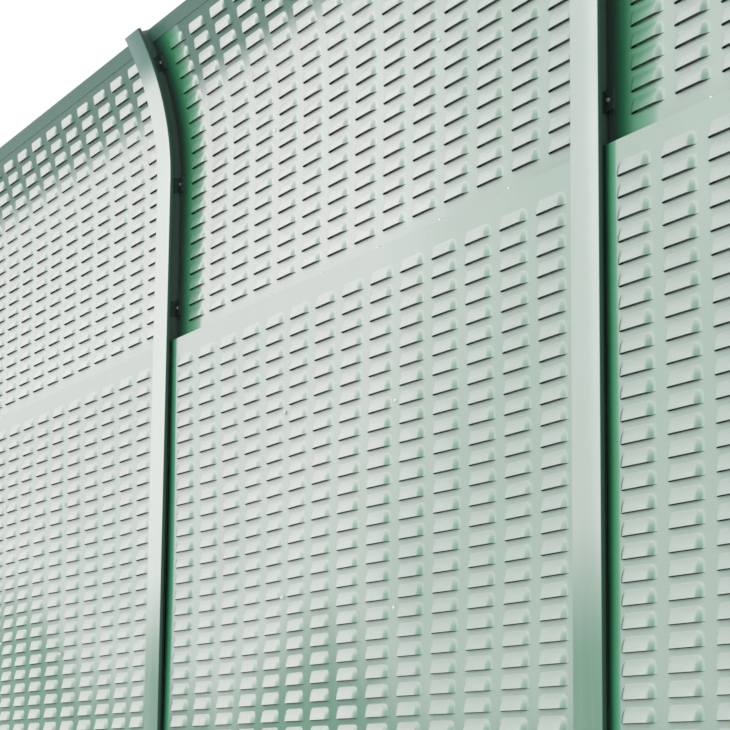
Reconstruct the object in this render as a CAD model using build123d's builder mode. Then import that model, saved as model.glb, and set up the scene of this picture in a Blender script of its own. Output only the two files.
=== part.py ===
from math import atan2, cos, degrees, sin
import os

from build123d import *

# Noise barrier section: three bays of louvred absorptive panels held between
# H-section posts whose tops lean towards the road. +X runs along the wall,
# -Y faces the road (the louvred side) and +Z is up. The origin is the centre
# of the underside of the first post's base plate. Millimetres.

# Bays and posts
bay_count = 3
bay_width = 2000.0
post_depth = 150.0
flange_width = 92.0
flange_thickness = 9.0
web_thickness = 6.0
post_end_past_rail = 12.0

# Base plates, with their gussets and anchor bolt holes
plate_length = 300.0
plate_width = 300.0
plate_thickness = 20.0
anchor_spacing_x = 220.0
anchor_spacing_y = 220.0
anchor_hole_radius = 13.0
gusset_height = 120.0
gusset_thickness = 10.0
gusset_reach = 62.0
gusset_nose = 20.0

# Panel tiers, from the pads on the base plates upwards
pad_thickness = 10.0
pad_length = 90.0
pad_width = 90.0
tier_height = 1213.0
joint_strip = 4.0
panel_end_gap = 12.0
sheet_thickness = 2.0
front_fold_depth = 45.0
tray_lap = 20.0
tier_face_setback = 15.0
upper_face_setback = 42.0
panel_back_gap = 6.0
straight_height = 426.0
bend_radius = 850.0
bend_length = 422.0

# Stiffening ribs pressed into the back trays
rib_count = 3
rib_width = 70.0
rib_rise = 4.0
rib_slope = 12.0
rib_end_margin = 70.0

# Louvre hoods pressed out of the upper panels' front sheets
louvre_column_pitch = 132.5
louvre_row_pitch = 40.5
louvre_side_margin = 85.0
louvre_bottom_margin = 43.0
louvre_top_margin = 45.0
hood_length = 100.0
hood_height = 26.0
hood_rise = 8.0
hood_end_slope = 10.0

# Rubber edge strips, and the cleats that keep the upper panels from falling forwards
strip_width = 20.0
strip_offset = 22.0
cleat_count = 3
cleat_height = 40.0
cleat_thickness = 3.0
cleat_sheet_leg = 34.0
cleat_web_leg = 24.0
cleat_end_margin = 90.0

# Top rail, a channel over the upper panel's end
rail_leg = 32.0
rail_thickness = 2.0

# Places that follow from the sizes above
flange_inner = post_depth / 2 - flange_thickness
tier_face = -post_depth / 2 + tier_face_setback
upper_face = -post_depth / 2 + upper_face_setback
panel_back = flange_inner - panel_back_gap
base_bottom = plate_thickness + pad_thickness
lower_bottom = base_bottom + tier_height + joint_strip
upper_bottom = lower_bottom + tier_height + joint_strip
bend_level = upper_bottom + straight_height
bend_centre_y = upper_face - bend_radius
bend_angle = degrees(bend_length / bend_radius)
post_end_angle = bend_angle + degrees(post_end_past_rail / bend_radius)
rail_leg_start = bend_angle - degrees(rail_leg / bend_radius)
panel_end = web_thickness / 2 + panel_end_gap
panel_length = bay_width - 2 * panel_end
tray_length = panel_length - 2 * sheet_thickness
hood_field_width = bay_width - 2 * louvre_side_margin - hood_length
hood_field_top = straight_height + bend_length - louvre_top_margin
hood_field_height = hood_field_top - louvre_bottom_margin - hood_height
louvre_columns = int(hood_field_width / louvre_column_pitch) + 1
louvre_rows = int(hood_field_height / louvre_row_pitch) + 1
first_column = (bay_width - (louvre_columns - 1) * louvre_column_pitch) / 2

os.makedirs("parts", exist_ok=True)


def save(part, name):
    """Labels a finished piece and writes it as one STEP file."""
    part.label = name
    export_step(part, f"parts/{name}.step")


def climb(bottom, end_angle):
    """The line that posts and upper panels follow: up, then bent towards the road."""
    with BuildLine(Plane.YZ) as path:
        Line((0, bottom), (0, bend_level))
        JernArc((0, bend_level), (0, 1), -bend_centre_y, end_angle)
    return path.wires()[0]


def upper_point(run, setback=0.0):
    """Where a distance up the upper panel's face lies, as (y, z); setback is behind the face."""
    if run <= straight_height:
        return upper_face + setback, upper_bottom + run
    angle = (run - straight_height) / bend_radius
    radius = bend_radius + setback
    return bend_centre_y + radius * cos(angle), bend_level + radius * sin(angle)


def upper_place(x, run, height):
    """A location on the upper panel's face, leaning with the chord of the given height."""
    y_low, z_low = upper_point(run)
    y_high, z_high = upper_point(run + height)
    lean = degrees(atan2(y_low - y_high, z_high - z_low))
    return Location((x, y_low, z_low), (lean, 0, 0))


def folded_outline(level, centre, length, face, back):
    """A sheet in plan: flat at face, with both ends folded square towards back."""
    left, right = centre - length / 2, centre + length / 2
    with BuildSketch(Plane.XY.offset(level)) as outline:
        with BuildLine():
            Polyline((left, back), (left, face), (right, face), (right, back))
            offset(
                amount=sheet_thickness,
                side=Side.LEFT if back > face else Side.RIGHT,
                kind=Kind.INTERSECTION,
            )
        make_face()
    return outline.sketch


def bend_band(inner, outer, start_angle, end_angle):
    """A curved strip in side view, between two radii about the bend's centre."""
    centre = (bend_centre_y, bend_level)
    sweep_angle = end_angle - start_angle
    with BuildSketch(Plane.YZ) as band:
        with BuildLine():
            near = CenterArc(centre, inner, start_angle, sweep_angle)
            far = CenterArc(centre, outer, start_angle, sweep_angle)
            Line(near @ 0, far @ 0)
            Line(near @ 1, far @ 1)
        make_face()
    return band.sketch


def panel_cover(level, centre, face):
    """A panel's end plate in plan, between its front sheet and its back tray."""
    with BuildSketch(Plane.XY.offset(level)) as cover:
        with Locations((centre, (panel_back + face) / 2)):
            Rectangle(tray_length - 2 * sheet_thickness, panel_back - face - 2 * sheet_thickness)
    return cover.sketch


def louvre_hoods(places):
    """Pressed hoods: a lip at the foot, a slope up to the sheet, and one sloping end."""
    with BuildPart() as hoods:
        with Locations(*places):
            Wedge(
                hood_length, hood_rise, hood_height,
                hood_end_slope, 0, hood_length, 0,
                rotation=(0, 0, 180),
                align=(Align.CENTER, Align.MIN, Align.MIN),
            )
    return hoods.part


def make_post(name, x):
    """One H-section post, carried up the line of the wall."""
    flange_middle = flange_inner + flange_thickness / 2
    with BuildPart() as post:
        with BuildSketch(Plane.XY.offset(plate_thickness)):
            with Locations((x, flange_middle), (x, -flange_middle)):
                Rectangle(flange_width, flange_thickness)
            with Locations((x, 0)):
                Rectangle(web_thickness, 2 * flange_inner)
        sweep(path=climb(plate_thickness, post_end_angle))
    save(post.part, name)


def make_base_plate(name, x):
    """A base plate with four anchor holes and a gusset outside each flange."""
    with BuildPart() as plate:
        with BuildSketch():
            with Locations((x, 0)):
                Rectangle(plate_length, plate_width)
                with GridLocations(anchor_spacing_x, anchor_spacing_y, 2, 2):
                    Circle(anchor_hole_radius, mode=Mode.SUBTRACT)
        extrude(amount=plate_thickness)
        with BuildSketch(Plane.YZ.offset(x)):
            with BuildLine():
                heel = (post_depth / 2, plate_thickness)
                Polyline(
                    heel,
                    (heel[0] + gusset_reach, plate_thickness),
                    (heel[0] + gusset_reach, plate_thickness + gusset_nose),
                    (heel[0] + gusset_nose, plate_thickness + gusset_height),
                    (heel[0], plate_thickness + gusset_height),
                    heel,
                )
            make_face()
            mirror(about=Plane.YZ)
        extrude(amount=gusset_thickness / 2, both=True)
    save(plate.part, name)


def rib_levels(height):
    """Heights of the ribs' centres above a panel's foot, spread evenly."""
    return [height * (index + 1) / (rib_count + 1) for index in range(rib_count)]


def make_tier(name, centre, bottom):
    """One straight panel: its front sheet, and the ribbed back tray with its end plates."""
    top = bottom + tier_height
    with BuildPart() as front:
        fold_end = tier_face + front_fold_depth
        extrude(folded_outline(bottom, centre, panel_length, tier_face, fold_end), amount=tier_height)
    save(front.part, f"{name}_front")

    tray_front = tier_face + front_fold_depth - tray_lap
    with BuildPart() as tray:
        extrude(folded_outline(bottom, centre, tray_length, panel_back, tray_front), amount=tier_height)
        for level in (bottom, top - sheet_thickness):
            extrude(panel_cover(level, centre, tier_face), amount=sheet_thickness)
        with BuildSketch(Plane.YZ.offset(centre)):
            for level in rib_levels(tier_height):
                with BuildLine():
                    half = rib_width / 2
                    Polyline(
                        (panel_back, bottom + level - half),
                        (panel_back + rib_rise, bottom + level - half + rib_slope),
                        (panel_back + rib_rise, bottom + level + half - rib_slope),
                        (panel_back, bottom + level + half),
                        (panel_back, bottom + level - half),
                    )
                make_face()
        extrude(amount=panel_length / 2 - rib_end_margin, both=True)
    save(tray.part, f"{name}_tray")


def make_upper(name, centre):
    """The top panel, whose sheets follow the bend of the posts."""
    path = climb(upper_bottom, bend_angle)
    with BuildPart() as front:
        fold_end = upper_face + front_fold_depth
        sweep(folded_outline(upper_bottom, centre, panel_length, upper_face, fold_end), path=path)
    save(front.part, f"{name}_front")

    tray_front = upper_face + front_fold_depth - tray_lap
    with BuildPart() as tray:
        sweep(folded_outline(upper_bottom, centre, tray_length, panel_back, tray_front), path=path)
        extrude(panel_cover(upper_bottom, centre, upper_face), amount=sheet_thickness)
    save(tray.part, f"{name}_tray")

    left = centre - bay_width / 2 + first_column
    columns = [left + column * louvre_column_pitch for column in range(louvre_columns)]
    rows = [louvre_bottom_margin + row * louvre_row_pitch for row in range(louvre_rows)]
    places = [upper_place(x, run, hood_height) for x in columns for run in rows]
    save(louvre_hoods(places), f"{name}_louvres")


def make_top_rail(name, centre):
    """A channel closing the top panel's end, with a leg down each face."""
    front = bend_radius
    back = bend_radius + panel_back - upper_face
    front_outer = front - rail_thickness
    back_outer = back + rail_thickness
    cap_end = bend_angle + degrees(rail_thickness / bend_radius)
    bands = (
        bend_band(front_outer, back_outer, bend_angle, cap_end),
        bend_band(front_outer, front, rail_leg_start, bend_angle),
        bend_band(back, back_outer, rail_leg_start, bend_angle),
    )
    with BuildPart() as rail:
        for band in bands:
            extrude(band, amount=panel_length / 2, both=True)
    save(rail.part.moved(Location((centre, 0, 0))), name)


def make_strips(name, left_post, right_post):
    """Rubber strips between the panels' ends and the flanges, and between tiers."""
    tiers_top = upper_bottom - joint_strip
    with BuildPart() as strips:
        for x in (left_post + strip_offset, right_post - strip_offset - strip_width):
            with BuildSketch(Plane.XY.offset(base_bottom)):
                with Locations((x + strip_width / 2, (tier_face - flange_inner) / 2)):
                    Rectangle(strip_width, flange_inner + tier_face)
            extrude(amount=tiers_top - base_bottom)
            with BuildSketch(Plane.XY.offset(base_bottom)):
                with Locations((x + strip_width / 2, flange_inner - panel_back_gap / 2)):
                    Rectangle(strip_width, panel_back_gap)
            sweep(path=climb(base_bottom, rail_leg_start))
    save(strips.part, name)


def make_joints(name, centre):
    """Flat rubber strips under the upper tier, between the tiers, and the pads at the foot."""
    depth = panel_back - upper_face
    middle = (panel_back + upper_face) / 2
    with BuildPart() as joints:
        for level in (lower_bottom - joint_strip, upper_bottom - joint_strip):
            with BuildSketch(Plane.XY.offset(level)):
                with Locations((centre, middle)):
                    Rectangle(tray_length, depth)
            extrude(amount=joint_strip)
        reach = panel_length / 2 - pad_length / 2
        with BuildSketch(Plane.XY.offset(plate_thickness)):
            with Locations((centre - reach, 0), (centre + reach, 0)):
                Rectangle(pad_length, pad_width)
        extrude(amount=pad_thickness)
    save(joints.part, name)


def make_cleats(name, left_post, right_post):
    """Small angles on the webs that hold the upper panel's face."""
    span = straight_height + bend_length - 2 * cleat_end_margin
    with BuildPart() as cleats:
        for index in range(cleat_count):
            run = cleat_end_margin + span * index / (cleat_count - 1) - cleat_height / 2
            for x, turn in ((left_post, 1), (right_post, -1)):
                place = upper_place(x + turn * web_thickness / 2, run, cleat_height)
                with BuildSketch(Plane(place)):
                    with Locations((turn * cleat_sheet_leg / 2, -cleat_thickness / 2)):
                        Rectangle(cleat_sheet_leg, cleat_thickness)
                    with Locations((turn * cleat_thickness / 2, -cleat_web_leg / 2)):
                        Rectangle(cleat_thickness, cleat_web_leg)
                extrude(amount=cleat_height)
    save(cleats.part, name)


for number in range(1, bay_count + 2):
    post_x = (number - 1) * bay_width
    make_post(f"post_{number}", post_x)
    make_base_plate(f"base_plate_{number}", post_x)

for number in range(1, bay_count + 1):
    left_post = (number - 1) * bay_width
    right_post = number * bay_width
    centre = (left_post + right_post) / 2
    make_tier(f"base_panel_{number}", centre, base_bottom)
    make_tier(f"lower_panel_{number}", centre, lower_bottom)
    make_upper(f"upper_panel_{number}", centre)
    make_top_rail(f"top_rail_{number}", centre)
    make_strips(f"edge_strips_{number}", left_post, right_post)
    make_joints(f"joint_strips_{number}", centre)
    make_cleats(f"panel_cleats_{number}", left_post, right_post)
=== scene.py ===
"""Looks of a roadside noise barrier: three bays of louvred panels held between H-section posts.

Metres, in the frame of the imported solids: +X runs along the wall, -Y faces the road and +Z is up.
"""

from __future__ import annotations

import logging
from dataclasses import dataclass, field
from enum import Enum
from math import pi, radians

import bpy
import numpy as np
from mathutils import Matrix, Vector

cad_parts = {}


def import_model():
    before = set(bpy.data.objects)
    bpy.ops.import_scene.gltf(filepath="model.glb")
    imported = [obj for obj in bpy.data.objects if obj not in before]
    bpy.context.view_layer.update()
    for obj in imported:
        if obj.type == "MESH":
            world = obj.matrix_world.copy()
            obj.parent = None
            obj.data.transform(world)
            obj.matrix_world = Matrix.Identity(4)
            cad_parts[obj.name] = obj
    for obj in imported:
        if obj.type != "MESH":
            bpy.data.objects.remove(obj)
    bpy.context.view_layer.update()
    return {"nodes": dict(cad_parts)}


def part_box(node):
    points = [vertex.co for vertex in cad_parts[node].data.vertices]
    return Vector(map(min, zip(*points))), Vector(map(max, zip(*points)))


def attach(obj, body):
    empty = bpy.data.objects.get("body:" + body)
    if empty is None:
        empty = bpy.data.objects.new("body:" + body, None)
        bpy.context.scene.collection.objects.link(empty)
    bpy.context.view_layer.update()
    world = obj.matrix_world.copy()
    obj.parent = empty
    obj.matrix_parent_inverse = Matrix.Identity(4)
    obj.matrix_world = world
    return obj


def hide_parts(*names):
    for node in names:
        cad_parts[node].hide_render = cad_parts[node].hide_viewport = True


Array = np.ndarray
Colour = tuple[float, float, float]
Spot = tuple[float, float, float]
Span = tuple[float, float]
Tone = tuple[int, int, int]
LOG = logging.getLogger("noise_barrier")
BODY = "root"
SHEET_MAP = "Sheet"
BAY_WIDTH = 2.0


class Slot(Enum):
    """The record's material slots; each added piece is passed one, which nothing reads."""

    SHEET = "sheet_paint"
    POST = "post_paint"
    PLATE = "plate_paint"
    CLEAT = "cleat_steel"
    RUBBER = "rubber"


def linear(red: int, green: int, blue: int) -> Colour:
    """Turns a display colour into the linear one that a shader wants.

    Args:
        red, green, blue: the display colour's parts, from 0 to 255.

    Returns:
        The three linear parts, by the sRGB curve.
    """
    parts = np.array((red, green, blue)) / 255.0
    low, high = parts / 12.92, ((parts + 0.055) / 1.055) ** 2.4
    return tuple(float(part) for part in np.where(parts <= 0.04045, low, high))


def tones(*stops: tuple[float, int, int, int]) -> tuple[tuple[float, Colour], ...]:
    """A ramp's stops, each given as its place and its display colour."""
    return tuple((place, linear(*colour)) for place, *colour in stops)


class Socket:
    """One value in a shader graph; arithmetic on it adds Math nodes."""

    def __init__(self, graph: Graph, output: bpy.types.NodeSocket) -> None:
        """Wraps a node's output, so that expressions can use it."""
        self.graph = graph
        self.output = output

    def _math(self, operation: str, first: float | Socket, second: float | Socket) -> Socket:
        """Adds one Math node and returns what it gives."""
        return self.graph.node("ShaderNodeMath", {"operation": operation}, {0: first, 1: second})

    def __add__(self, other: float | Socket) -> Socket:
        """Sum."""
        return self._math("ADD", self, other)

    def __sub__(self, other: float | Socket) -> Socket:
        """Difference."""
        return self._math("SUBTRACT", self, other)

    def __rsub__(self, other: float) -> Socket:
        """Difference, with a plain number first."""
        return self._math("SUBTRACT", other, self)

    def __mul__(self, other: float | Socket) -> Socket:
        """Product."""
        return self._math("MULTIPLY", self, other)

    __radd__, __rmul__ = __add__, __mul__

    def larger(self, other: Socket) -> Socket:
        """The larger of two values."""
        return self._math("MAXIMUM", self, other)

    def step(self, low: float | Socket, high: float | Socket) -> Socket:
        """A smooth step, from 0 at low to 1 at high."""
        return self.graph.node(
            "ShaderNodeMapRange",
            {"interpolation_type": "SMOOTHSTEP"},
            {"Value": self, "From Min": low, "From Max": high},
        )


class Graph:
    """The shader graph of a material or of the world."""

    def __init__(self, owner: bpy.types.Material | bpy.types.World) -> None:
        """Empties the owner's graph."""
        owner.use_nodes = True
        self.owner = owner
        self.tree = owner.node_tree
        self.tree.nodes.clear()

    def node(
        self,
        kind: str,
        settings: dict[str, object] | None = None,
        values: dict[str | int, object] | None = None,
        output: str | int = 0,
    ) -> Socket:
        """Adds a node.

        Args:
            kind: the node's type.
            settings: its settings, set first; a ramp's stops are pairs of a place and a colour.
            values: what its sockets hold, or the sockets that feed them, by identifier, name or number.
            output: the output to return, by name or number.

        Returns:
            The chosen output.
        """
        node = self.tree.nodes.new(kind)
        for key, setting in (settings or {}).items():
            if key == "stops":
                self._set_stops(node.color_ramp, setting)
            else:
                setattr(node, key, setting)
        by_identifier = {socket.identifier: socket for socket in node.inputs}
        for key, value in (values or {}).items():
            socket = by_identifier[key] if key in by_identifier else node.inputs[key]
            if isinstance(value, Socket):
                self.tree.links.new(value.output, socket)
            elif isinstance(value, tuple) and len(value) == 3 and socket.type == "RGBA":
                socket.default_value = (*value, 1.0)
            else:
                socket.default_value = value
        outputs = {socket.identifier: socket for socket in node.outputs}
        return Socket(self, outputs[output] if output in outputs else node.outputs[output])

    @staticmethod
    def _set_stops(ramp: bpy.types.ColorRamp, stops: list[tuple[float, Colour]]) -> None:
        """Sets a colour ramp.

        Args:
            ramp: the ramp, with two stops or more.
            stops: what it gets, each a place and a colour.
        """
        while len(ramp.elements) < len(stops):
            ramp.elements.new(1.0)
        for element, (place, colour) in zip(ramp.elements, stops):
            element.position = place
            element.color = (*colour, 1.0)

    def mix(self, share: float | Socket, first: Colour | Socket, second: Colour | Socket) -> Socket:
        """Mixes two colours; a share of 1 gives the second."""
        return self.node(
            "ShaderNodeMix",
            {"data_type": "RGBA"},
            {"Factor_Float": share, "A_Color": first, "B_Color": second},
            "Result_Color",
        )

    def part(self, vector: Socket, axis: str) -> Socket:
        """One coordinate of a vector, X, Y or Z."""
        return self.node("ShaderNodeSeparateXYZ", values={"Vector": vector}, output=axis)

    def sheet_map(self, axis: str) -> Socket:
        """One coordinate of the piece's Sheet map, X or Y, in metres."""
        return self.part(self.node("ShaderNodeUVMap", {"uv_map": SHEET_MAP}), axis)

    def place(self) -> Socket:
        """The point on the object, in metres."""
        return self.node("ShaderNodeTexCoord", output="Object")

    def noise(self, scale: float, detail: float, rough: float = 0.5, finer: Spot | None = None) -> Socket:
        """Adds a noise.

        Args:
            scale: how many grains there are to a metre.
            detail: how often a finer grain is added.
            rough: how strong the finer grains are.
            finer: for streaks, how many times finer the grains are along each axis.

        Returns:
            The noise, from 0 to 1.
        """
        point = self.place()
        if finer:
            point = self.node("ShaderNodeMapping", values={"Vector": point, "Scale": finer})
        values = {"Vector": point, "Scale": scale, "Detail": detail, "Roughness": rough}
        return self.node("ShaderNodeTexNoise", values=values)

    def finish(self, shader: Socket, output: str = "ShaderNodeOutputMaterial") -> None:
        """Sends a shader to the output."""
        self.tree.links.new(shader.output, self.tree.nodes.new(output).inputs["Surface"])

    def surface(self, values: dict[str, object], bump: dict[str, object]) -> bpy.types.Material:
        """Ends a material's graph in its shader.

        Args:
            values: what the shader's sockets hold, apart from its normal.
            bump: the strength, distance and height of the bump on its normal.

        Returns:
            The material.
        """
        normal = self.node("ShaderNodeBump", values=bump, output="Normal")
        self.finish(self.node("ShaderNodeBsdfPrincipled", values={**values, "Normal": normal}))
        return self.owner


@dataclass(frozen=True)
class WeatheredPaint:
    """Green coating, with painted reflection of its surroundings laid over it by the way a face points.

    The painted reflection follows the way a face points, in the part's own frame: a pale painted sky sheen on
    faces that look up, deep painted reflection of the ground on faces turned down, and green on faces turned
    along the wall. A span says where a change starts and where it is complete, in parts of the normal or in
    metres.
    """

    name: str
    sky_sheen: Colour
    pale: Colour
    tint: Colour
    deep: Colour
    side: Colour
    web: Colour | None = None
    foliage_reflection: Colour = linear(74, 139, 108)
    left_end_reflection: Colour = linear(40, 92, 68)
    post_shade_and_reflection: tuple[tuple[float, Colour], ...] = ()
    open_from: float = 0.0
    low_reflection: float = 0.0
    roughness: float = 0.42
    coat: float = 0.35
    grain: float = 0.0006
    turned_up: Span = (0.05, 0.20)
    turned_down: Span = (-0.31, -0.18)
    turned_along: Span = (0.10, 0.40)
    web_depth: Span = (-0.067, -0.060)
    green_below: Span = (1.55, 2.35)
    green_past: Span = (2.6, 4.0)
    belt_top: Span = (1.52, 1.84)

    def material(self) -> bpy.types.Material:
        """Builds the paint's shader.

        Returns:
            The material. Each layer of colour is mixed over the one before it.
        """
        graph = Graph(bpy.data.materials.new(self.name))
        normal = graph.node("ShaderNodeTexCoord", output="Normal")
        up, along = graph.part(normal, "Z"), graph.part(normal, "X")
        point = graph.place()
        height, x = graph.part(point, "Z"), graph.part(point, "X")
        broad = graph.noise(0.9, 2.0)
        cloudy = graph.noise(5.0, 4.0, 0.55)
        speckle = graph.noise(240.0, 2.0)
        streak = graph.noise(1.0, 4.0, 0.6, (26.0, 26.0, 1.2))

        # Painted reflection of foliage: the coat is greener low on the wall and farther along it, with a
        # random cloudy tone.
        low = 1.0 - (height + (broad - 0.5) * 0.9).step(*self.green_below)
        far = (x + (broad - 0.5) * 0.8).step(*self.green_past)
        greener = (low * 0.45 + far * 0.8 + (cloudy - 0.5) * 0.35).step(0.05, 1.0)
        colour = graph.mix(greener, self.pale, self.tint)
        # Painted sky sheen: faces that look up are mixed towards the palest tone, less where the coat is
        # greener.
        open_up = up.step(*self.turned_up) * (1.0 - along.step(0.04, 0.20))
        colour = graph.mix(open_up * (1.0 - greener * 0.62), colour, self.sky_sheen)
        # Painted reflection of the dark ground on faces turned down.
        down = 1.0 - (up + (cloudy - 0.5) * 0.05).step(*self.turned_down)
        colour = graph.mix(down, colour, self.deep)
        # Painted reflection of foliage, low on the wall, on faces that don't look up.
        if self.low_reflection > 0.0:
            ragged = (broad - 0.5) * 0.25 + (cloudy - 0.5) * 0.10 + (streak - 0.5) * 0.06
            low_reflection = self._low_reflection_share(graph, height, x, ragged)
            colour = graph.mix(low_reflection * (1.0 - up.step(0.04, 0.16)), colour, self.foliage_reflection)
        # Painted reflection in green on faces turned along the wall towards +X.
        sideways = along.step(*self.turned_along)
        colour = graph.mix(sideways, colour, self.side)
        if self.web:
            colour = graph.mix(sideways * graph.sheet_map("X").step(*self.web_depth), colour, self.web)
        # Painted shadow and reflection beside each post.
        if self.post_shade_and_reflection:
            colour = self._painted_post_shade(graph, colour, up, along, cloudy)
        colour = graph.mix(streak.step(0.56, 0.80) * 0.16, colour, self.tint)
        colour = graph.mix(speckle.step(0.62, 0.80) * 0.10, colour, self.deep)
        return graph.surface(
            {
                "Base Color": colour,
                "Roughness": cloudy * 0.16 + (self.roughness - 0.08),
                "Coat Weight": self.coat,
                "Coat Roughness": 0.18,
            },
            {"Strength": 0.25, "Distance": self.grain, "Height": speckle + cloudy * 2.0},
        )

    def _low_reflection_share(self, graph: Graph, height: Socket, x: Socket, ragged: Socket) -> Socket:
        """Where the coat is painted greener low on the wall, a painted reflection of foliage.
            height: height above the ground.
            x: the place along the wall; the patches get lower towards its far end.
            ragged: a noise that breaks the patches' edge.

        Returns:
            The share of green. On a sheet it is a patch at the foot, climbing highest between the
            stiffeners; elsewhere everything below half height, a little less near the ground.
        """
        if not self.post_shade_and_reflection:
            belt = 1.0 - (height + ragged).step(*self.belt_top)
            return belt * ((height + ragged).step(0.4, 1.45) * 0.35 + 0.55) * self.low_reflection
        past, climb = graph.sheet_map("X"), graph.sheet_map("Y")
        middle = past.step(0.35, 0.85) * (1.0 - past.step(0.95, 1.45))
        top = middle * 0.20 + ragged + (0.54 - x * 0.10)
        return (1.0 - (climb - top).step(-0.18, 0.12)) * self.low_reflection

    def _painted_post_shade(self, graph: Graph, colour: Socket, up: Socket, along: Socket, cloudy: Socket) -> Socket:
        """Deepens the coat beside a post, from dark in the channel through green to the open face.

        Args:
            graph: the graph to add to.
            colour: the open face's colour.
            up: how far the face looks up; hoods open up sooner than the flats between them.
            along: how far the face looks along the wall; a hood's left end stays deep near the post.
            cloudy: a soft noise that keeps the edge uneven.

        Returns:
            The colour with the painted shade and reflection band over it. The Sheet map's X is the distance
            past the post's centre, in metres.
        """
        past = graph.sheet_map("X")
        uneven = past + (cloudy - 0.5) * 0.006
        reach = self.post_shade_and_reflection[-1][0]
        stops = [(place / reach, tone) for place, tone in self.post_shade_and_reflection]
        band = graph.node("ShaderNodeValToRGB", {"stops": stops}, {0: uneven * (1.0 / reach)}, "Color")
        opening = uneven.step(self.open_from, reach)
        # Painted shadow and reflection band; faces that look up take a little less of it.
        colour = graph.mix((1.0 - opening) * (1.0 - up.step(0.10, 0.25) * 0.12), colour, band)
        # Painted reflection of the dark channel on the left ends of hoods near the post.
        left_end_reflection = (along * -1.0).step(*self.turned_along) * (1.0 - past.step(0.120, 0.150))
        return graph.mix(left_end_reflection, colour, self.left_end_reflection)


@dataclass(frozen=True)
class PlainFinish:
    """A finish of one tone with a second one in soft patches, and a fine grain."""

    name: str
    main: Colour
    patch: Colour
    patch_scale: float = 14.0
    patch_share: float = 0.5
    roughness: float = 0.7
    metallic: float = 0.0
    grain_scale: float = 160.0
    grain: float = 0.0008

    def material(self) -> bpy.types.Material:
        """Builds the finish's shader.

        Returns:
            The material, with soft patches where a noise passes an edge.
        """
        graph = Graph(bpy.data.materials.new(self.name))
        patches, grain = graph.noise(self.patch_scale, 5.0, 0.6), graph.noise(self.grain_scale, 3.0)
        edge = 0.62 - self.patch_share * 0.3
        return graph.surface(
            {
                "Base Color": graph.mix(patches.step(edge, edge + 0.20), self.main, self.patch),
                "Roughness": grain * 0.2 + (self.roughness - 0.1),
                "Metallic": self.metallic,
            },
            {"Strength": 0.4, "Distance": self.grain, "Height": grain},
        )


@dataclass(frozen=True)
class PlatePaint:
    """Deep green coating, on plates and welds, with rust in patches that grow near the ground."""

    name: str
    paint: Colour = linear(52, 96, 78)
    faded: Colour = linear(78, 118, 98)
    rust: Colour = linear(112, 62, 34)
    old_rust: Colour = linear(66, 38, 24)
    rust_top: float = 0.16

    def material(self) -> bpy.types.Material:
        """Builds the paint's shader.

        Returns:
            The material, with rust where noise, plus closeness to the ground, passes a limit.
        """
        graph = Graph(bpy.data.materials.new(self.name))
        height = graph.part(graph.place(), "Z")
        patches, fine = graph.noise(18.0, 5.0, 0.65), graph.noise(120.0, 4.0, 0.6)
        near_ground = 1.0 - height.step(0.0, self.rust_top)
        rusted = (patches + near_ground * 0.10 + (fine - 0.5) * 0.12).step(0.60, 0.66)
        rust = graph.mix(fine.step(0.40, 0.62), self.rust, self.old_rust)
        paint = graph.mix(patches.step(0.3, 0.7) * 0.4, self.paint, self.faded)
        return graph.surface(
            {"Base Color": graph.mix(rusted, paint, rust), "Roughness": rusted * 0.45 + 0.42},
            {"Strength": 0.6, "Distance": 0.001, "Height": fine * rusted + fine * 0.2},
        )


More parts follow.
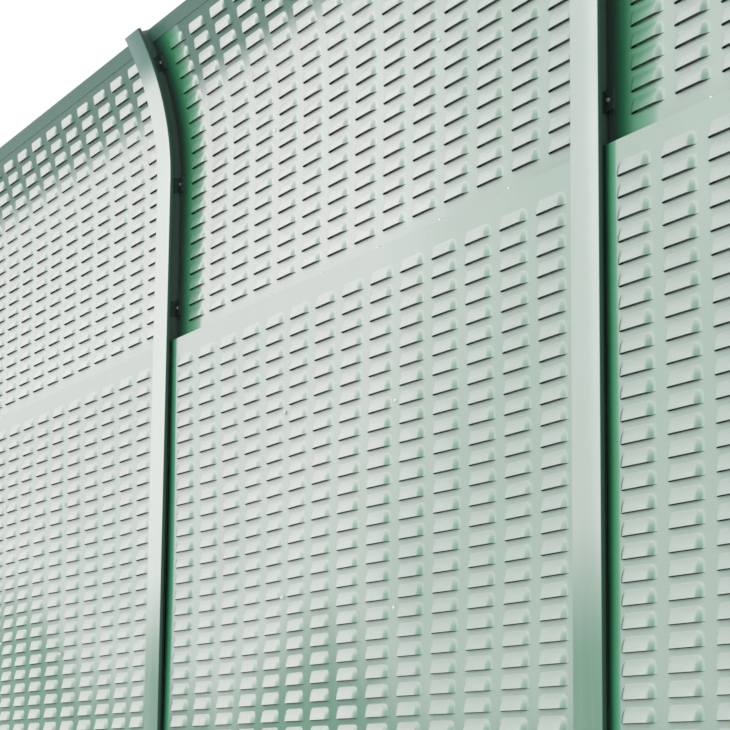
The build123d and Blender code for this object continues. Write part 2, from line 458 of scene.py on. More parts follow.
class Finishes:
    """Every finish of the barrier, built once."""

    def __init__(self) -> None:
        """Builds the materials."""
        # The palest tones are a painted sky sheen for faces that look up; deep and side are painted
        # reflections for faces turned down and along the wall.
        sky_sheen, bright = linear(219, 222, 218), linear(228, 230, 228)
        deep, side = linear(78, 124, 110), linear(88, 147, 120)
        self.tier_sheet = WeatheredPaint(
            "tier_sheet_paint", sky_sheen, linear(205, 213, 207), linear(168, 189, 177), deep, side,
            open_from=0.076, low_reflection=0.95,
            # Painted shadow in the channel beside each post, near black, then a painted reflection of the post
            # in green, out to the open face.
            post_shade_and_reflection=tones(
                (0.0, 14, 34, 24), (0.041, 14, 36, 26), (0.046, 24, 66, 44), (0.050, 28, 88, 54),
                (0.056, 32, 118, 76), (0.064, 40, 140, 94), (0.071, 56, 152, 108), (0.075, 84, 162, 126),
                (0.079, 124, 178, 152), (0.084, 160, 196, 176),
            ),
        ).material()
        self.upper_sheet = WeatheredPaint(
            "upper_sheet_paint", bright, linear(218, 223, 218), linear(170, 190, 179), deep, side,
            open_from=0.160,
            # Painted shadow in the channel beside each post, dark slate, then a painted reflection of the post
            # in green, out to the open face.
            post_shade_and_reflection=tones(
                (0.0, 66, 84, 78), (0.024, 56, 76, 70), (0.038, 48, 84, 68), (0.050, 44, 100, 74),
                (0.060, 42, 114, 80), (0.070, 44, 122, 84), (0.085, 48, 130, 88), (0.104, 56, 146, 102),
                (0.120, 64, 152, 110), (0.136, 86, 160, 126), (0.152, 114, 170, 142), (0.168, 150, 186, 166),
                (0.182, 188, 205, 195),
            ),
        ).material()
        # Post tones: a painted sky sheen on faces that look up, painted reflection in teal on the turned-down
        # top, in dark green on faces turned towards +X, and painted green low down.
        self.post = WeatheredPaint(
            "post_paint", bright, linear(224, 229, 225), linear(188, 201, 193), linear(104, 146, 136),
            linear(52, 92, 76), linear(104, 128, 120), roughness=0.38, turned_down=(-0.40, -0.30), low_reflection=0.95,
        ).material()
        # The rail's pale and tint are a dark teal: painted reflection of the ground on a rail that faces down.
        self.rail = WeatheredPaint(
            "rail_paint", sky_sheen, linear(92, 134, 120), linear(86, 128, 114), deep, linear(60, 100, 82)
        ).material()
        # Tray tones carry the same painted reflections, with a weaker painted green low down.
        self.tray = WeatheredPaint(
            "tray_paint", linear(196, 206, 198), linear(178, 194, 184), linear(152, 176, 162),
            linear(110, 148, 132), linear(120, 156, 138), roughness=0.55, coat=0.1, low_reflection=0.3,
        ).material()
        self.inside = self._plain("sheet_inside", (168, 176, 168), (148, 156, 148), roughness=0.8)
        # The fleece is a pale grey, lighter than a black absorber: painted light that lifts the shade in the
        # slits.
        self.fleece = self._plain(
            "absorber_fleece", (162, 164, 156), (144, 146, 138),
            patch_scale=60.0, roughness=0.95, grain_scale=700.0, grain=0.0015,
        )
        self.rubber = self._plain("edge_rubber", (30, 32, 31), (52, 56, 53), patch_scale=24.0, patch_share=0.3)
        self.cleat = self._plain(
            "cleat_coating", (58, 76, 70), (70, 88, 82), patch_scale=30.0, patch_share=0.4, roughness=0.5
        )
        self.fixing = self._plain(
            "zinc_fixing", (238, 241, 239), (196, 202, 198),
            patch_scale=90.0, patch_share=0.4, roughness=0.35, metallic=0.3,
        )
        self.bolt = self._plain(
            "bolt_coating", (160, 168, 164), (186, 192, 188), patch_scale=70.0, patch_share=0.35, roughness=0.5
        )
        self.plate = PlatePaint("plate_paint").material()

    @staticmethod
    def _plain(name: str, main: Tone, patch: Tone, **sizes: float) -> bpy.types.Material:
        """Builds a plain finish from its name, two display colours and other values."""
        return PlainFinish(name, linear(*main), linear(*patch), **sizes).material()


@dataclass
class MeshParts:
    """Collects grids of points and the faces between them as one mesh."""

    points: list[Array] = field(default_factory=list)
    faces: list[Array] = field(default_factory=list)
    finishes: list[Array] = field(default_factory=list)
    count: int = 0

    def add_points(self, points: Array) -> Array:
        """Adds points.

        Args:
            points: the points, of shape (..., 3).

        Returns:
            Their numbers, of shape (...).
        """
        shape = points.shape[:-1]
        numbers = np.arange(self.count, self.count + int(np.prod(shape))).reshape(shape)
        self.points.append(points.reshape(-1, 3))
        self.count += numbers.size
        return numbers

    def add_faces(self, faces: Array, finish: int = 0, turned: bool = False) -> None:
        """Adds faces.

        Args:
            faces: their corners' numbers, of shape (..., corners), anticlockwise seen from outside.
            finish: the number of their finish.
            turned: whether they point the other way.
        """
        flat = faces.reshape(-1, faces.shape[-1])
        self.faces.append(flat[:, ::-1] if turned else flat)
        self.finishes.append(np.full(len(flat), finish, np.int32))

    def join(self, first: Array, second: Array, turned: bool = False) -> None:
        """Adds a strip of quads between two rows of point numbers that run along their last axis."""
        corners = (first[..., :-1], first[..., 1:], second[..., 1:], second[..., :-1])
        self.add_faces(np.stack(corners, -1), turned=turned)

    def skin(self, numbers: Array, keep: Array | None = None, finish: int = 0, turned: bool = False) -> None:
        """Adds a grid of quads.

        Args:
            numbers: the grid's point numbers.
            keep: which quads to add; all of them without it.
            finish: the number of their finish.
            turned: whether they point the other way.
        """
        corners = (numbers[:-1, :-1], numbers[:-1, 1:], numbers[1:, 1:], numbers[1:, :-1])
        quads = np.stack(corners, -1)
        self.add_faces(quads if keep is None else quads[keep], finish, turned)

    def shell(
        self, front: Array, back: Array, keep: Array | None = None, back_finish: int = 0
    ) -> tuple[Array, Array]:
        """Adds a sheet with thickness: two skins, closed round their outer edge.

        Args:
            front: the front skin's points, rows going up and columns going along +X.
            back: the back skin's points, in the same grid.
            keep: which quads both skins have.
            back_finish: the back skin's finish.

        Returns:
            The point numbers of the front and the back skin.
        """
        outer, inner = self.add_points(front), self.add_points(back)
        self.skin(outer, keep)
        self.skin(inner, keep, back_finish, turned=True)
        self.join(outer[0], inner[0], turned=True)
        self.join(outer[-1], inner[-1])
        self.join(outer[:, 0], inner[:, 0])
        self.join(outer[:, -1], inner[:, -1], turned=True)
        return outer, inner

    def tube(self, rings: Array) -> None:
        """Adds a closed profile carried along a path, with a face over each end.

        Args:
            rings: points of shape (rings, corners, 3), each ring anticlockwise seen from the path's end.
        """
        numbers = self.add_points(rings)
        self.skin(np.concatenate((numbers, numbers[:, :1]), 1))
        self.add_faces(numbers[:1], turned=True)
        self.add_faces(numbers[-1:])

    def build(
        self, name: str, *materials: bpy.types.Material, sharp_degrees: float = 38.0
    ) -> bpy.types.Object:
        """Makes the object, smooth shaded, with edges over the given angle left sharp.

        Args:
            name: the piece's name.
            materials: its materials, in the order of the finish numbers.
            sharp_degrees: the angle between faces from which an edge is sharp.

        Returns:
            The new object, linked to the scene.
        """
        mesh = bpy.data.meshes.new(name)
        points = np.concatenate(self.points).astype(np.float32)
        loops = np.concatenate([faces.ravel() for faces in self.faces]).astype(np.int32)
        sizes = np.concatenate([np.full(len(faces), faces.shape[1]) for faces in self.faces])
        starts = np.concatenate(([0], np.cumsum(sizes)[:-1])).astype(np.int32)
        mesh.vertices.add(len(points))
        mesh.vertices.foreach_set("co", points.ravel())
        mesh.loops.add(len(loops))
        mesh.loops.foreach_set("vertex_index", loops)
        mesh.polygons.add(len(sizes))
        mesh.polygons.foreach_set("loop_start", starts)
        mesh.polygons.foreach_set("material_index", np.concatenate(self.finishes))
        mesh.update(calc_edges=True)
        mesh.polygons.foreach_set("use_smooth", np.ones(len(sizes), bool))
        mesh.set_sharp_from_angle(angle=radians(sharp_degrees))
        for material in materials:
            mesh.materials.append(material)
        piece = bpy.data.objects.new(name, mesh)
        bpy.context.scene.collection.objects.link(piece)
        return piece


def write_sheet_map(piece: bpy.types.Object, along: Array, climb: Array, shape: tuple[int, ...]) -> None:
    """Gives a mesh its Sheet map, in metres.

    Args:
        piece: the object whose mesh gets the map.
        along: X, on a sheet the distance past the centre of the post on its left, on a post the depth.
        climb: Y, on a sheet the climb above its foot, on a post the height.
        shape: the shape of the mesh's grid of points, over which along and climb are spread.
    """
    corners = np.zeros(len(piece.data.loops), np.int32)
    piece.data.loops.foreach_get("vertex_index", corners)
    places = np.stack((np.broadcast_to(along, shape).ravel(), np.broadcast_to(climb, shape).ravel()), -1)
    layer = piece.data.uv_layers.new(name=SHEET_MAP)
    layer.uv.foreach_set("vector", places[corners].astype(np.float32).ravel())


def carried(piece: bpy.types.Object, slot: Slot, *replaced: str) -> None:
    """Lets a piece ride on the wall, and logs it.

    Args:
        piece: the piece.
        slot: the record slot named for its finish; not used.
        replaced: the solids that it stands for.
    """
    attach(piece, BODY)
    if replaced:
        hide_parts(*replaced)
    solids = ", ".join(replaced) or "nothing"
    LOG.info("%s: %d faces, stands for %s", piece.name, len(piece.data.polygons), solids)


@dataclass(frozen=True)
class WallLine:
    """The side view that posts and upper panels share: upright, then bent towards the road."""

    bend_level: float
    face_y: float
    bend_radius: float = 0.850

    def carry(self, depth: Array, climb: Array) -> tuple[Array, Array]:
        """Carries points along the line.

        Args:
            depth: each point's y on the upright stretch.
            climb: its height on that stretch; past the bend's level, the arc length at the bend's radius.

        Returns:
            Its y and z. The bend's centre is a radius in front of the upper face, and past the bend's
            level a point turns about it by the arc over the radius.
        """
        centre = self.face_y - self.bend_radius
        turn = np.maximum(climb - self.bend_level, 0.0) / self.bend_radius
        reach = depth - centre
        return centre + reach * np.cos(turn), np.minimum(climb, self.bend_level) + reach * np.sin(turn)


@dataclass(frozen=True)
class Hood:
    """One louvre hood pressed out of the sheet: steep and round at its left end, drawn out at its right."""

    length: float = 0.100
    height: float = 0.0242
    rise: float = 0.0080
    gap: float = 0.0008
    left_run: float = 0.0170
    right_run: float = 0.0230
    corner: float = 0.008
    margin: float = 0.0022

    def along(self) -> tuple[Array, Array, Array]:
        """The stations along a hood.

        Returns:
            Distance from the left foot, share of the rise, and share of the corner's inward shift. By
            the distance from its own foot over its run, t, the left end's share is a quarter ellipse,
            the root of 1 - (1 - t) squared, and the right end's a cosine, (1 - cos(pi t)) / 2.
        """
        left = np.array((0.0, 0.12, 0.45, 1.0))
        right = np.array((1.0, 0.7, 0.35, 0.0))
        outside, still = np.array([-self.margin]), np.zeros(1)
        right_end = self.length - self.right_run * right
        return (
            np.concatenate((outside, self.left_run * left, right_end, self.length - outside)),
            np.concatenate((still, np.sqrt(1.0 - (1.0 - left) ** 2), (1.0 - np.cos(pi * right)) / 2, still)),
            np.concatenate((still, 1.0 - left, right - 1.0, still)),
        )

    def up(self) -> tuple[Array, Array, Array]:
        """The stations up a hood, from the foot of its gap to just over its crown.

        Returns:
            Distance above the lip, share of the rise, and the corner's inward shift. The rise falls from
            the lip to the crown along a slightly bulging line, and the corner follows an ellipse.
        """
        height = np.append(-self.gap, self.height * np.array((0.0, 0.45, 0.80, 0.96, 1.08, 1.22)))
        share = np.array((0.0, 1.0, 0.73, 0.37, 0.14, 0.0, 0.0))
        shift = np.array((0.0, 0.0, 0.03, 0.30, 0.75, 1.0, 0.0)) * self.corner
        return height, share, shift


@dataclass(frozen=True)
class SheetWave:
    """The dents of a flat sheet between its stiffeners: how deep three waves go, in metres inwards.

    A wave is named after its number of half sines along the sheet.
    """

    triple: float = 0.0
    single: float = 0.0
    double: float = 0.0

    def dent(self, along: Array, up: Array) -> Array:
        """How far the sheet is dented.

        Args:
            along: shares of the sheet's length.
            up: shares of its height.

        Returns:
            The dents, of shape (up, along): the triple and the single wave, times the square of a half
            sine up the sheet, plus the double wave, times a half sine that peaks low.
        """
        bulge = self.triple * np.sin(3 * pi * along) + self.single * np.sin(pi * along)
        twist = self.double * np.sin(2 * pi * along)
        return np.outer(np.sin(pi * up) ** 2, bulge) + np.outer(np.sin(pi * up**0.7), twist)


@dataclass(frozen=True)
class Hang:
    """How one panel sits in its bay: the shift of its hoods, and the wave of its sheet."""

    along: float = 0.0
    up: float = 0.0
    wave: SheetWave = SheetWave()


@dataclass(frozen=True)
class HoodField:
    """Where a sheet's hoods are: columns along the bay, and rows up the sheet."""

    rows: int
    row_pitch: float
    first_lip: float
    columns: int = 14
    column_pitch: float = 0.1325

    def left_feet(self, hood: Hood) -> Array:
        """Each column's left foot, from the centre of the post on the left."""
        first = (BAY_WIDTH - (self.columns - 1) * self.column_pitch - hood.length) / 2
        return first + self.column_pitch * np.arange(self.columns)

    def lips(self) -> Array:
        """Each row's lip, above the sheet's foot."""
        return self.first_lip + self.row_pitch * np.arange(self.rows)


@dataclass(frozen=True)
class FrontSheet:
    """A panel's louvred front sheet, folded back at both ends and open at every hood."""

    name: str
    left_post: float
    left: float
    right: float
    face: float
    foot: float
    climb: float
    fold: float
    line: WallLine
    hoods: HoodField
    hood: Hood = Hood()
    hang: Hang = Hang()
    thickness: float = 0.0014
    fold_radius: float = 0.004
    fold_steps: int = 4
    band_steps: int = 3
    fleece_setback: float = 0.009
    fleece_thickness: float = 0.006
    fleece_inset: float = 0.012
    fleece_grid: tuple[int, int] = (24, 30)

    def _plan(self) -> tuple[Array, Array, Array, Array, Array, Array]:
        """The sheet in plan.

        Returns:
            x, setback behind the face, the outward normal's x and y parts, the hoods' share of the rise
            and the corners' shift, all at stations that go round the left fold, along and round the right.
            The folds are quarter circles.
        """
        turn = np.linspace(0.0, pi / 2, self.fold_steps)
        radius = self.fold_radius
        bend_x, bend_setback = radius * (1.0 - np.cos(turn)), radius * (1.0 - np.sin(turn))
        feet = self.hoods.left_feet(self.hood) + self.hang.along
        along, share, shift = self.hood.along()
        face_x = (self.left_post + feet[:, None] + along[None, :]).ravel()
        count = len(feet)
        left_bend, right_bend = self.left + bend_x, self.right - bend_x[::-1]
        x = np.concatenate(([self.left], left_bend, face_x, right_bend, [self.right]))
        setback = np.concatenate(([self.fold], bend_setback, 0.0 * face_x, bend_setback[::-1], [self.fold]))
        normal_x = np.concatenate(([-1.0], -np.cos(turn), 0.0 * face_x, np.cos(turn[::-1]), [1.0]))
        normal_y = np.concatenate(([0.0], np.sin(turn), 0.0 * face_x + 1.0, np.sin(turn[::-1]), [0.0]))
        margin = np.zeros(len(turn) + 1)
        rise = np.concatenate((margin, np.tile(share, count), margin))
        corner = np.concatenate((margin, np.tile(shift, count), margin))
        return x, setback, normal_x, normal_y, rise, corner

    def _side(self) -> tuple[Array, Array, Array]:
        """The sheet in side view.

        Returns:
            Climb above the foot, share of the rise and the corners' shift, at stations from the foot up
            each hood in turn and on to the top.
        """
        up, share, shift = self.hood.up()
        lips = self.hoods.lips() + self.hang.up
        climb = (lips[:, None] + up[None, :]).ravel()
        band = np.linspace(climb[-1], self.climb, self.band_steps + 1)[1:]
        nothing, start = np.zeros(len(band)), np.zeros(1)
        return (
            np.concatenate((start, climb, band)),
            np.concatenate((start, np.tile(share, len(lips)), nothing)),
            np.concatenate((start, np.tile(shift, len(lips)), nothing)),
        )

    def _dent(self, x: Array, climb: Array) -> Array:
        """How far the sheet is dented at places along it and climbs above its foot."""
        return self.hang.wave.dent((x - self.left) / (self.right - self.left), climb / self.climb)

    def _points(self, inward: float) -> Array:
        """The points of one skin of the sheet.

        Args:
            inward: how far it is set in from the outer skin.

        Returns:
            Points of shape (up, along, 3). A point's height over the face is the hood's rise, times its
            share along the hood, times its share up it, less the sheet's dent there.
        """
        x, setback, normal_x, normal_y, rise_along, corner_along = self._plan()
        climb, rise_up, corner_up = self._side()
        out = self.hood.rise * np.outer(rise_up, rise_along) - self._dent(x, climb) * normal_y - inward
        across = x + normal_x * out + np.outer(corner_up, corner_along)
        depth = self.face + setback - normal_y * out
        y, z = self.line.carry(depth, np.broadcast_to((self.foot + climb)[:, None], depth.shape))
        return np.stack((across, y, z), -1)

    def _slots(self, parts: MeshParts, outer: Array, inner: Array) -> None:
        """Closes the cut edges round each slot, which ends one station inside the right foot.

        Args:
            parts: the sheet's mesh.
            outer, inner: the point numbers of its two skins.
        """
        per_hood, per_row = len(self.hood.along()[0]), len(self.hood.up()[0])
        starts = self.fold_steps + 2 + per_hood * np.arange(self.hoods.columns)
        sills = 1 + per_row * np.arange(self.hoods.rows)
        last = per_hood - 4
        across = starts[:, None] + np.arange(last + 1)[None, :]
        lip, sill = (sills + 1)[:, None, None], sills[:, None, None]
        parts.join(outer[lip, across], inner[lip, across], turned=True)
        parts.join(outer[sill, across], inner[sill, across])
        ends = (sills[:, None] + np.arange(2)[None, :])[:, None, :]
        left, right = starts[None, :, None], (starts + last)[None, :, None]
        parts.join(outer[ends, left], inner[ends, left], turned=True)
        parts.join(outer[ends, right], inner[ends, right])

    def _keep(self) -> Array:
        """Which quads the sheet has.

        Returns:
            True for all but the slots' quads, which lie within a hood's length from a sill to its lip.
        """
        rise_along, rise_up = self._plan()[4], self._side()[1]
        in_hood = rise_along[1:] > 0
        in_gap = (rise_up[:-1] == 0) & (rise_up[1:] == 1)
        return ~np.outer(in_gap, in_hood)

    def build(self, finishes: Finishes, outside: bpy.types.Material, replaced: list[str]) -> None:
        """Builds the sheet, and the fleece that shows through its slots.

        Args:
            finishes: the barrier's finishes.
            outside: the finish of the sheet's road side.
            replaced: the solids that the sheet stands for.
        """
        parts = MeshParts()
        skins = (self._points(0.0), self._points(self.thickness))
        outer, inner = parts.shell(*skins, self._keep(), back_finish=1)
        self._slots(parts, outer, inner)
        piece = parts.build(self.name, outside, finishes.inside)
        x, climb = self._plan()[0], self._side()[0]
        write_sheet_map(piece, x - self.left_post, climb[:, None], (2, *outer.shape))
        carried(piece, Slot.SHEET, *replaced)
        self._fleece(finishes)

    def _fleece(self, finishes: Finishes) -> None:
        """Builds the fleece, a thin slab that follows the sheet's wave and bend behind its slots.

        Args:
            finishes: the barrier's finishes.
        """
        inset, (rows, columns) = self.fleece_inset, self.fleece_grid
        climb = np.linspace(inset, self.climb - inset, rows)
        x = np.linspace(self.left + inset, self.right - inset, columns)
        dent = self._dent(x, climb)
        climbs = np.repeat((self.foot + climb)[:, None], columns, 1)
        skins = []
        for setback in (self.fleece_setback, self.fleece_setback + self.fleece_thickness):
            y, z = self.line.carry(self.face + setback + dent, climbs)
            skins.append(np.stack((np.broadcast_to(x, dent.shape), y, z), -1))
        parts = MeshParts()
        parts.shell(*skins)
        carried(parts.build(f"{self.name}_fleece", finishes.fleece), Slot.RUBBER)


def rounded_outline(corners: Array, radii: Array, steps: int = 4) -> Array:
    """Rounds the square corners of a closed outline.

    Args:
        corners: the outline's corners, anticlockwise, of shape (corners, 2).
        radii: each corner's radius.
        steps: points per corner.

    Returns:
        The rounded outline. At a corner with unit sides a and b the arc is centre - radius times
        (b cos t + a sin t), with t from 0 to a quarter turn.
    """
    before, after = np.roll(corners, 1, 0) - corners, np.roll(corners, -1, 0) - corners
    before /= np.linalg.norm(before, axis=1, keepdims=True)
    after /= np.linalg.norm(after, axis=1, keepdims=True)
    radius = radii[:, None]
    centre = corners + (before + after) * radius
    turn = np.linspace(0.0, pi / 2, steps)[None, :, None]
    arc = after[:, None, :] * np.cos(turn) + before[:, None, :] * np.sin(turn)
    return (centre[:, None, :] - radius[:, :, None] * arc).reshape(-1, 2)


def even_outline(outline: Array, spacing: float) -> Array:
    """Walks a closed outline in even steps.

    Args:
        outline: the outline's corners, of shape (corners, 2).
        spacing: the least distance between steps.

    Returns:
        The steps' places, by linear interpolation over the outline's running length.
    """
    closed = np.concatenate((outline, outline[:1]))
    run = np.concatenate(([0.0], np.cumsum(np.linalg.norm(np.diff(closed, axis=0), axis=1))))
    count = int(run[-1] / spacing)
    places = np.linspace(0.0, run[-1], count, endpoint=False)
    return np.stack([np.interp(places, run, closed[:, axis]) for axis in range(2)], -1)


@dataclass(frozen=True)
class Post:
    """An H-section post: flanges across the wall's faces, a web between them, curved at the top."""

    name: str
    x: float
    foot: float
    top_climb: float
    line: WallLine
    depth: float = 0.150
    flange_width: float = 0.092
    flange: float = 0.009
    web: float = 0.006
    edge_radius: float = 0.0012
    root_radius: float = 0.009
    end_slope: float = 0.13
    straight_rings: int = 12
    bend_rings: int = 25
    end_ring: float = 0.03
    weld: float = 0.006
    weld_step: float = 0.003
    weld_ripple: float = 0.12
    weld_steps_per_ripple: float = 3.0
    weld_rings: int = 5

    def _outline(self) -> Array:
        """The section in plan.

        Returns:
            Its outline, anticlockwise seen from above, of shape (corners, 2): twelve corners, of which
            the second half is the first turned half round, each rounded.
        """
        half, back, web = self.flange_width / 2, self.depth / 2, self.web / 2
        inner = back - self.flange
        quarter = [(half, -back), (half, -inner), (web, -inner), (web, inner), (half, inner), (half, back)]
        corners = np.array(quarter + [(-x, -y) for x, y in quarter])
        edge, root = self.edge_radius, self.root_radius
        return rounded_outline(corners, np.array([edge, edge, root, root, edge, edge] * 2))

    def build(self, finishes: Finishes, replaced: str) -> None:
        """Carries the section up the wall's line; the end is cut a little flatter than square.

        Args:
            finishes: the barrier's finishes.
            replaced: the solid that the post stands for.
        """
        outline = self._outline()
        straight = np.linspace(self.foot, self.line.bend_level, self.straight_rings)
        curved = np.linspace(self.line.bend_level, self.top_climb - self.end_ring, self.bend_rings + 1)[1:]
        climbs = np.concatenate((straight, curved, [self.top_climb]))
        climb = np.repeat(climbs[:, None], len(outline), 1)
        climb[-1] -= self.end_slope * (outline[:, 1] + self.depth / 2)
        y, z = self.line.carry(np.broadcast_to(outline[:, 1], climb.shape), climb)
        rings = np.stack((np.broadcast_to(self.x + outline[:, 0], climb.shape), y, z), -1)
        parts = MeshParts()
        parts.tube(rings)
        piece = parts.build(self.name, finishes.post)
        write_sheet_map(piece, outline[:, 1], climb, climb.shape)
        carried(piece, Slot.POST, replaced)
        self._weld(finishes)

    def _weld(self, finishes: Finishes) -> None:
        """Lays a rippled bead round the foot: a quarter circle whose radius waves along the outline.

        Args:
            finishes: the barrier's finishes.
        """
        outline = even_outline(self._outline(), self.weld_step)
        ahead = np.roll(outline, -1, 0) - np.roll(outline, 1, 0)
        ahead /= np.linalg.norm(ahead, axis=1, keepdims=True)
        outward = np.stack((ahead[:, 1], -ahead[:, 0]), -1)
        ripples = np.arange(len(outline)) / self.weld_steps_per_ripple
        radius = self.weld * (1.0 + self.weld_ripple * np.sin(2 * pi * ripples))
        turn = np.linspace(0.0, pi / 2, self.weld_rings)
        plan = outline[None] + outward[None] * np.outer(np.cos(turn), radius)[..., None]
        rise = self.foot + np.outer(np.sin(turn), radius)
        parts = MeshParts()
        numbers = parts.add_points(np.stack((self.x + plan[..., 0], plan[..., 1], rise), -1))
        wrapped = np.concatenate((numbers, numbers[:, :1]), 1)
        parts.skin(wrapped)
        parts.join(wrapped[-1], wrapped[0])
        carried(parts.build(f"{self.name}_weld", finishes.plate), Slot.PLATE)


@dataclass(frozen=True)
class Fixing:
    """A small turned part on a face: rings of a radius and a height over the face."""

    radii: tuple[float, ...]
    heights: tuple[float, ...]
    sides: int

    def rings(self, centre: Array, across: Array, out: Array) -> Array:
        """The fixing's rings of points.

        Args:
            centre: the foot's centre.
            across: a unit vector in the face.
            out: the face's unit normal.

        Returns:
            Points of shape (rings, sides, 3): the centre, plus the radius times a circle in the face,
            plus the height along the normal.
        """
        turn = 2 * pi * np.arange(self.sides) / self.sides
        beside = np.cross(out, across)
        circle = np.outer(np.cos(turn), across) + np.outer(np.sin(turn), beside)
        radii, heights = np.array(self.radii)[:, None, None], np.array(self.heights)[:, None, None]
        return centre + radii * circle[None] + heights * out


@dataclass(frozen=True)
class FaceFixings:
    """Rivets and bolts on the fronts of one bay."""

    name: str
    left_post: float
    line: WallLine
    rivet: Fixing = Fixing((0.0052, 0.0050, 0.0038, 0.0016), (-0.0006, 0.0014, 0.0032, 0.0040), 12)
    bolt_head: Fixing = Fixing((0.0034, 0.0034, 0.0029), (0.0, 0.0024, 0.0029), 6)
    washer: Fixing = Fixing((0.0042, 0.0042, 0.0038), (-0.0004, 0.0010, 0.0012), 16)
    washer_height: float = 0.0012
    bolt_sharp_degrees: float = 25.0

    def _frame(self, x: float, depth: float, climb: float) -> tuple[Array, Array, Array]:
        """A point on a face.

        Args:
            x: its distance past the post on the left.
            depth: its y on the upright stretch.
            climb: its climb up the wall's line.

        Returns:
            The point, and the unit vectors along the face and out of it.
        """
        step = 1e-4
        y, z = self.line.carry(np.array((depth, depth)), np.array((climb, climb + step)))
        rise = np.array((0.0, y[1] - y[0], z[1] - z[0]))
        rise /= np.linalg.norm(rise)
        across = np.array((1.0, 0.0, 0.0))
        return np.array((self.left_post + x, y[0], z[0])), across, np.cross(across, rise)

    def build(self, finishes: Finishes, rivets: list[Spot], bolts: list[Spot]) -> None:
        """Builds the bay's rivets and its cleats' bolts.

        Args:
            finishes: the barrier's finishes.
            rivets, bolts: their places, each given by x, depth and climb.
        """
        heads, nuts = MeshParts(), MeshParts()
        for place in rivets:
            heads.tube(self.rivet.rings(*self._frame(*place)))
        for place in bolts:
            centre, across, out = self._frame(*place)
            nuts.tube(self.washer.rings(centre, across, out))
            nuts.tube(self.bolt_head.rings(centre + self.washer_height * out, across, out))
        carried(heads.build(f"{self.name}_rivets", finishes.fixing), Slot.CLEAT)
        bolted = nuts.build(f"{self.name}_bolts", finishes.bolt, sharp_degrees=self.bolt_sharp_degrees)
        carried(bolted, Slot.CLEAT)


class Tier(Enum):
    """The three panels of a bay, from the ground up."""

    BASE = "base_panel"
    LOWER = "lower_panel"
    UPPER = "upper_panel"


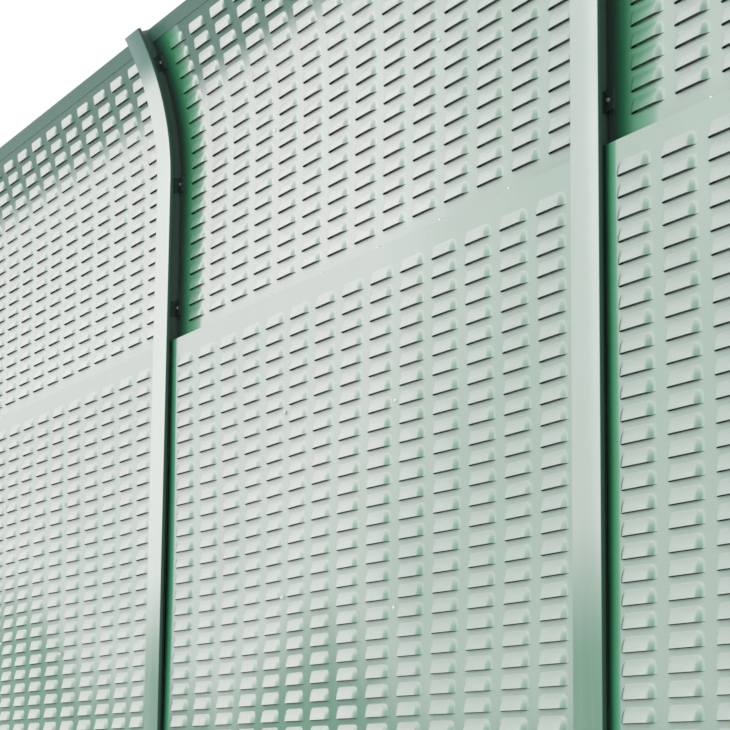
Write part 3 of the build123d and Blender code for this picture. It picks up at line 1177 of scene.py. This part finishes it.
@dataclass
class Barrier:
    """The whole wall: its bays and posts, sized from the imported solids."""

    finishes: Finishes
    bays: int = 3
    bend_level: float = 2.890
    bend_length: float = 0.422
    post_past_rail: float = 0.012
    rivet_columns: tuple[float, float] = (0.735, 1.268)
    rivet_heights: tuple[tuple[float, ...], tuple[float, ...]] = ((0.069, 0.495, 0.921), (0.437, 0.868))
    upper_rivets: tuple[tuple[float, float], ...] = ((0.600, 0.416), (1.398, 0.397))
    seam_first: float = 0.325
    seam_pitch: float = 0.270
    seam_count: int = 6
    seam_height: float = 0.009
    cleat_climbs: tuple[float, ...] = (0.090, 0.424, 0.758)
    cleat_inset: float = 0.022
    cleat_thickness: float = 0.003
    tier_fields: dict[Tier, HoodField] = field(
        default_factory=lambda: {
            Tier.BASE: HoodField(28, 0.040, 0.059),
            Tier.LOWER: HoodField(28, 0.040, 0.059),
            Tier.UPPER: HoodField(19, 0.0405, 0.043),
        }
    )
    hangs: dict[tuple[Tier, int], Hang] = field(
        default_factory=lambda: {
            (Tier.BASE, 1): Hang(0.002, 0.001, SheetWave(0.008, 0.004, 0.003)),
            (Tier.BASE, 2): Hang(-0.001, -0.001, SheetWave(0.010, -0.002, -0.004)),
            (Tier.BASE, 3): Hang(0.001, 0.002, SheetWave(0.007, 0.005, 0.002)),
            (Tier.LOWER, 1): Hang(-0.0008, 0.0000, SheetWave(0.0110, 0.0084, -0.0033)),
            (Tier.LOWER, 2): Hang(0.0044, -0.0034, SheetWave(0.0133, 0.0060, 0.0043)),
            (Tier.LOWER, 3): Hang(-0.0045, 0.0056, SheetWave(0.0098, 0.0019, -0.0044)),
            (Tier.UPPER, 1): Hang(-0.0040, 0.0008),
            (Tier.UPPER, 2): Hang(0.0063, -0.0017),
            (Tier.UPPER, 3): Hang(0.0010, 0.0015),
        }
    )

    def _fold(self) -> float:
        """How far the front sheets are folded back, from a straight panel."""
        low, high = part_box("lower_panel_1_front")
        return high.y - low.y

    def line(self) -> WallLine:
        """The wall's side view; the upper face is the fold's depth in front of those panels' back edge."""
        return WallLine(self.bend_level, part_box("upper_panel_1_front")[1].y - self._fold())

    def build(self) -> None:
        """Builds every post and bay in order."""
        line = self.line()
        top = line.bend_level + self.bend_length + self.post_past_rail
        plate_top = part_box("post_1")[0].z
        for number in range(1, self.bays + 2):
            node = f"post_{number}"
            low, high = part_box(node)
            Post(f"h_{node}", (low.x + high.x) / 2, plate_top, top, line).build(self.finishes, node)
        for number in range(1, self.bays + 1):
            self._bay(number, line)

    def _bay(self, number: int, line: WallLine) -> None:
        """Builds one bay's sheets and fixings.

        Args:
            number: the bay's number, from 1.
            line: the wall's side view.
        """
        left_post = (number - 1) * BAY_WIDTH
        rivets: list[Spot] = []
        bolts: list[Spot] = []
        for tier in Tier:
            node = f"{tier.value}_{number}_front"
            low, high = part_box(node)
            if tier is Tier.UPPER:
                face, climb = line.face_y, line.bend_level + self.bend_length - low.z
                paint, replaced = self.finishes.upper_sheet, [node, f"{tier.value}_{number}_louvres"]
                rivets += self._upper_rivets(face, low.z)
                bolts += self._cleat_bolts(face, low.z)
            else:
                face, climb = low.y, high.z - low.z
                paint, replaced = self.finishes.tier_sheet, [node]
                rivets += self._stiffener_rivets(face, low.z)
            FrontSheet(
                f"{tier.value}_{number}_sheet", left_post, low.x, high.x, face, low.z, climb,
                self._fold(), line, self.tier_fields[tier], hang=self.hangs[tier, number],
            ).build(self.finishes, paint, replaced)
        FaceFixings(f"bay_{number}", left_post, line).build(self.finishes, rivets, bolts)

    def _stiffener_rivets(self, face: float, foot: float) -> list[Spot]:
        """The rivets of a straight panel, up its two stiffeners."""
        columns = zip(self.rivet_columns, self.rivet_heights)
        return [(x, face, foot + height) for x, heights in columns for height in heights]

    def _upper_rivets(self, face: float, foot: float) -> list[Spot]:
        """The rivets of an upper panel: single ones, and a row along its seam."""
        along = (self.seam_first + self.seam_pitch * index for index in range(self.seam_count))
        seam = [(x, self.seam_height) for x in along]
        return [(x, face, foot + climb) for x, climb in (*self.upper_rivets, *seam)]

    def _cleat_bolts(self, face: float, foot: float) -> list[Spot]:
        """The bolts on the cleats at both ends of an upper panel."""
        ends = (self.cleat_inset, BAY_WIDTH - self.cleat_inset)
        return [(x, face - self.cleat_thickness, foot + climb) for climb in self.cleat_climbs for x in ends]

    def dress_solids(self, nodes: dict[str, bpy.types.Object]) -> None:
        """Gives each solid that stays in view its finish.

        Args:
            nodes: the solids by name.
        """
        finishes = self.finishes
        by_word = {
            "base_plate": finishes.plate,
            "tray": finishes.tray,
            "top_rail": finishes.rail,
            "strips": finishes.rubber,
            "cleats": finishes.cleat,
        }
        for name, node in nodes.items():
            for word, material in by_word.items():
                if word in name:
                    node.data.materials.clear()
                    node.data.materials.append(material)
                    LOG.info("%s: dressed in %s", name, material.name)


@dataclass(frozen=True)
class Studio:
    """Pale floor, soft light and the camera."""

    camera_place: Spot = (7.15900, -2.17270, 1.32620)
    camera_right: Spot = (0.46585, 0.88481, 0.00959)
    camera_up: Spot = (0.12963, -0.07896, 0.98841)
    camera_lens: float = 106.62
    camera_sensor: float = 36.0
    camera_shift: float = 0.12
    floor_half: float = 40.0
    sky_on_surfaces: float = 0.85
    sun_towards: Spot = (-0.55, -0.78, 0.30)
    sun_strength: float = 0.65
    sun_spread: float = radians(30.0)

    def camera(self) -> None:
        """Sets the camera at the photograph's place, turned by its right and up vectors."""
        right, up = Vector(self.camera_right).normalized(), Vector(self.camera_up)
        back = right.cross(up).normalized()
        up = back.cross(right)
        turned = Matrix((right, up, back)).transposed().to_4x4()
        data = bpy.data.cameras.new("camera")
        data.lens, data.sensor_width, data.shift_y = self.camera_lens, self.camera_sensor, self.camera_shift
        camera = bpy.data.objects.new("camera", data)
        camera.matrix_world = Matrix.Translation(self.camera_place) @ turned
        bpy.context.scene.collection.objects.link(camera)
        bpy.context.scene.camera = camera

    def light(self) -> None:
        """Lights the wall with a sky, white to the eye and weaker on surfaces, and one wide, soft sun."""
        world = bpy.data.worlds.new("sky")
        bpy.context.scene.world = world
        graph = Graph(world)
        rays = ("Camera", "Glossy", "Transmission")
        eye, gloss, glass = (graph.node("ShaderNodeLightPath", output=f"Is {ray} Ray") for ray in rays)
        strength = eye.larger(gloss).larger(glass) * (1.0 - self.sky_on_surfaces) + self.sky_on_surfaces
        values = {"Color": (1.0, 1.0, 1.0), "Strength": strength}
        graph.finish(graph.node("ShaderNodeBackground", values=values), "ShaderNodeOutputWorld")
        lamp = bpy.data.lights.new("sun", "SUN")
        lamp.energy, lamp.angle = self.sun_strength, self.sun_spread
        sun = bpy.data.objects.new("sun", lamp)
        sun.rotation_euler = Vector(self.sun_towards).to_track_quat("Z", "Y").to_euler()
        bpy.context.scene.collection.objects.link(sun)

    def floor(self) -> None:
        """Lays a plain pale floor, which isn't part of the wall."""
        edge = np.linspace(-self.floor_half, self.floor_half, 3)
        x, y = np.meshgrid(edge, edge)
        parts = MeshParts()
        parts.skin(parts.add_points(np.stack((x, y, 0.0 * x), -1)))
        paint = PlainFinish("pale_floor", (0.80, 0.80, 0.79), (0.79, 0.79, 0.78), 0.6, roughness=0.9)
        parts.build("floor", paint.material())

    def build(self) -> None:
        """Sets the camera, the light and the floor, and how colours are shown."""
        self.camera()
        self.light()
        self.floor()
        bpy.context.scene.view_settings.view_transform = "Standard"


def main() -> None:
    """Builds the studio and the barrier."""
    logging.basicConfig(level=logging.INFO, format="%(name)s: %(message)s")
    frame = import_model()
    Studio().build()
    barrier = Barrier(Finishes())
    barrier.build()
    barrier.dress_solids(frame["nodes"])
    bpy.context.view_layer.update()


if __name__ == "__main__":
    main()
